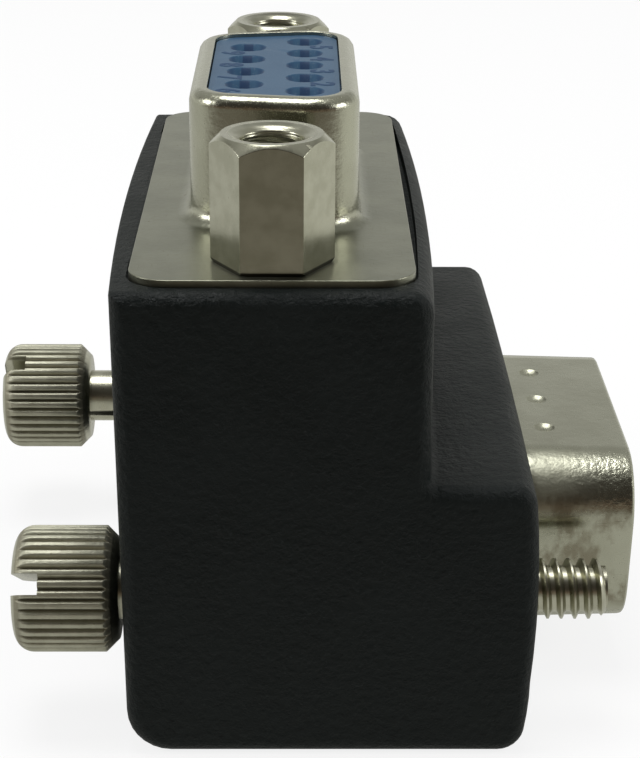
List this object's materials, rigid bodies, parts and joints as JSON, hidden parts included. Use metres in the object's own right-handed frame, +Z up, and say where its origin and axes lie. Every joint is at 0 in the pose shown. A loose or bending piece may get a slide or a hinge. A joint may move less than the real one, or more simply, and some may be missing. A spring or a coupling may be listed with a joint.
{
  "type": "right-angle d-sub adapter",
  "caption": "Right-angle adapter block that joins a female D-shaped connector on top to a male one on its side, with hex standoffs and captive knurled thumbscrews.",
  "frame": {"origin": "on the flat base, straight under the axis of the top (female) connector", "axes": "+Z up out of the top connector; +X out of the side connector and along both thumbscrews, towards their tips; Y along the rows of contacts, with contact 1 at -Y"},
  "size_m": [0.033, 0.0332, 0.0288],
  "materials": {
    "black_plastic": "fine eroded mould texture",
    "nickel_plate": "bright nickel plating on drawn sheet",
    "nickel_screw": "nickel plating on turned brass",
    "blue_plastic": "satin glass-filled moulding",
    "dark_insulator": "satin glass-filled moulding",
    "contact_gold": "thin gold flash",
    "tinned_copper": "dull tin",
    "brass": "machined",
    "spring_steel": "satin"
  },
  "bodies": {
    "adapter": {"housing": "black_plastic", "female_front_shell": "nickel_plate", "female_rear_shell": "nickel_plate", "male_front_shell": "nickel_plate", "male_rear_shell": "nickel_plate", "female_front_insulator": "blue_plastic", "female_rear_insulator": "dark_insulator", "male_front_insulator": "dark_insulator", "male_rear_insulator": "dark_insulator", "standoff_near": "nickel_screw", "standoff_far": "nickel_screw", "insert_near": "brass", "insert_far": "brass", "socket_1": "contact_gold", "pin_1": "contact_gold", "lead_1": "tinned_copper", "socket_2": "contact_gold", "pin_2": "contact_gold", "lead_2": "tinned_copper", "socket_3": "contact_gold", "pin_3": "contact_gold", "lead_3": "tinned_copper", "socket_4": "contact_gold", "pin_4": "contact_gold", "lead_4": "tinned_copper", "socket_5": "contact_gold", "pin_5": "contact_gold", "lead_5": "tinned_copper", "socket_6": "contact_gold", "pin_6": "contact_gold", "lead_6": "tinned_copper", "socket_7": "contact_gold", "pin_7": "contact_gold", "lead_7": "tinned_copper", "socket_8": "contact_gold", "pin_8": "contact_gold", "lead_8": "tinned_copper", "socket_9": "contact_gold", "pin_9": "contact_gold", "lead_9": "tinned_copper"},
    "near_clip": {"clip_near": "spring_steel"},
    "near_thumbscrew": {"jackscrew_near": "nickel_screw"},
    "far_clip": {"clip_far": "spring_steel"},
    "far_thumbscrew": {"jackscrew_far": "nickel_screw"}
  },
  "joints": [
    {"name": "near_screw_slide", "type": "slide", "parent": "adapter", "child": "near_clip", "axis": [1, 0, 0], "range_m": [-0.0039, 0]},
    {"name": "near_screw_turn", "type": "hinge", "parent": "near_clip", "child": "near_thumbscrew", "pos_m": [0, -0.01249, 0.00655], "axis": [1, 0, 0], "continuous": true},
    {"name": "far_screw_slide", "type": "slide", "parent": "adapter", "child": "far_clip", "axis": [1, 0, 0], "range_m": [-0.00025, 0.00365]},
    {"name": "far_screw_turn", "type": "hinge", "parent": "far_clip", "child": "far_thumbscrew", "pos_m": [0, 0.01249, 0.00655], "axis": [1, 0, 0], "continuous": true}
  ]
}
